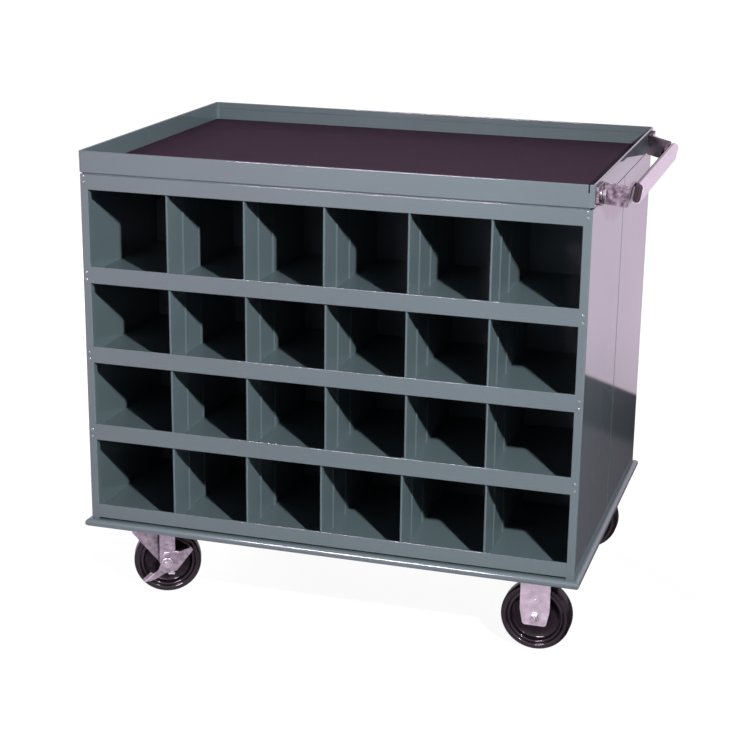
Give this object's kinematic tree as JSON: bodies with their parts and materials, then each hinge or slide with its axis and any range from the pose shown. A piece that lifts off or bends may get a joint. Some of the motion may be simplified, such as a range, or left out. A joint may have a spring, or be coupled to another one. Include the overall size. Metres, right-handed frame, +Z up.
{
  "type": "mobile bin cart",
  "caption": "Mobile two-sided steel bin cart: open bins on both long sides, hemmed tray top with rubber mat, oval push handle, rigid and braked swivel casters.",
  "frame": {"origin": "on the floor under the middle of the whole cart, handle included", "axes": "+Z up from the floor, +X towards the push handle, -Y towards the front bins"},
  "size_m": [0.9274, 0.6276, 0.8068],
  "materials": {
    "enamel": "gloss grey enamel",
    "painted_rivet": "gloss grey enamel",
    "mat": "matte ribless mat",
    "plated_steel": "bright zinc plate",
    "plated_tube": "bright plate",
    "fastener": "zinc plate",
    "bearing": "polished",
    "bushing": "turned",
    "wheel": "hard black phenolic"
  },
  "bodies": {
    "cart": {"front_side_left": "enamel", "front_side_right": "enamel", "front_back_panel": "enamel", "front_top_panel": "enamel", "front_rails": "enamel", "front_shelf_1": "enamel", "front_shelf_2": "enamel", "front_shelf_3": "enamel", "front_shelf_4": "enamel", "front_dividers_row_1": "enamel", "front_dividers_row_2": "enamel", "front_dividers_row_3": "enamel", "front_dividers_row_4": "enamel", "front_rivets": "painted_rivet", "rear_side_left": "enamel", "rear_side_right": "enamel", "rear_back_panel": "enamel", "rear_top_panel": "enamel", "rear_rails": "enamel", "rear_shelf_1": "enamel", "rear_shelf_2": "enamel", "rear_shelf_3": "enamel", "rear_shelf_4": "enamel", "rear_dividers": "enamel", "rear_rivets": "painted_rivet", "tray_top": "enamel", "rubber_mat": "mat", "base_pan": "enamel", "handle_tube": "plated_tube", "handle_bracket_front": "plated_steel", "handle_bracket_rear": "plated_steel", "handle_bolts": "fastener", "handle_screws": "fastener", "caster_bolts": "fastener", "base_bolts": "fastener", "unit_bolts": "fastener", "rigid_front_fork": "plated_steel", "rigid_front_bushing": "bushing", "rigid_front_axle": "fastener", "rigid_rear_fork": "plated_steel", "rigid_rear_bushing": "bushing", "rigid_rear_axle": "fastener", "swivel_front_plate": "plated_steel", "swivel_front_kingpin": "fastener", "swivel_rear_plate": "plated_steel", "swivel_rear_kingpin": "fastener"},
    "rigid_front_wheel_body": {"rigid_front_wheel": "wheel"},
    "rigid_rear_wheel_body": {"rigid_rear_wheel": "wheel"},
    "swivel_front_head": {"swivel_front_fork": "plated_steel", "swivel_front_balls": "bearing", "swivel_front_bushing": "bushing", "swivel_front_axle": "fastener"},
    "swivel_front_wheel_body": {"swivel_front_wheel": "wheel"},
    "swivel_front_brake": {"swivel_front_brake_lever": "plated_steel"},
    "swivel_rear_head": {"swivel_rear_fork": "plated_steel", "swivel_rear_balls": "bearing", "swivel_rear_bushing": "bushing", "swivel_rear_axle": "fastener"},
    "swivel_rear_wheel_body": {"swivel_rear_wheel": "wheel"},
    "swivel_rear_brake": {"swivel_rear_brake_lever": "plated_steel"}
  },
  "joints": [
    {"name": "rigid_front_wheel_spin", "type": "hinge", "parent": "cart", "child": "rigid_front_wheel_body", "pos_m": [0.33008, -0.2358, 0.06], "axis": [0, 1, 0], "continuous": true},
    {"name": "rigid_rear_wheel_spin", "type": "hinge", "parent": "cart", "child": "rigid_rear_wheel_body", "pos_m": [0.33008, 0.2358, 0.06], "axis": [0, 1, 0], "continuous": true},
    {"name": "swivel_front_turn", "type": "hinge", "parent": "cart", "child": "swivel_front_head", "pos_m": [-0.38472, -0.2258, 0.1529], "axis": [0, 0, 1], "continuous": true},
    {"name": "swivel_front_wheel_spin", "type": "hinge", "parent": "swivel_front_head", "child": "swivel_front_wheel_body", "pos_m": [-0.35227, -0.21269, 0.06], "axis": [-0.3746, 0.9272, 0], "continuous": true},
    {"name": "swivel_front_brake_tilt", "type": "hinge", "parent": "swivel_front_head", "child": "swivel_front_brake", "pos_m": [-0.35227, -0.21269, 0.06], "axis": [-0.3746, 0.9272, 0], "range_deg": [0, 55]},
    {"name": "swivel_rear_turn", "type": "hinge", "parent": "cart", "child": "swivel_rear_head", "pos_m": [-0.38472, 0.2258, 0.1529], "axis": [0, 0, 1], "continuous": true},
    {"name": "swivel_rear_wheel_spin", "type": "hinge", "parent": "swivel_rear_head", "child": "swivel_rear_wheel_body", "pos_m": [-0.35227, 0.23891, 0.06], "axis": [-0.3746, 0.9272, 0], "continuous": true},
    {"name": "swivel_rear_brake_tilt", "type": "hinge", "parent": "swivel_rear_head", "child": "swivel_rear_brake", "pos_m": [-0.35227, 0.23891, 0.06], "axis": [-0.3746, 0.9272, 0], "range_deg": [0, 55]}
  ]
}
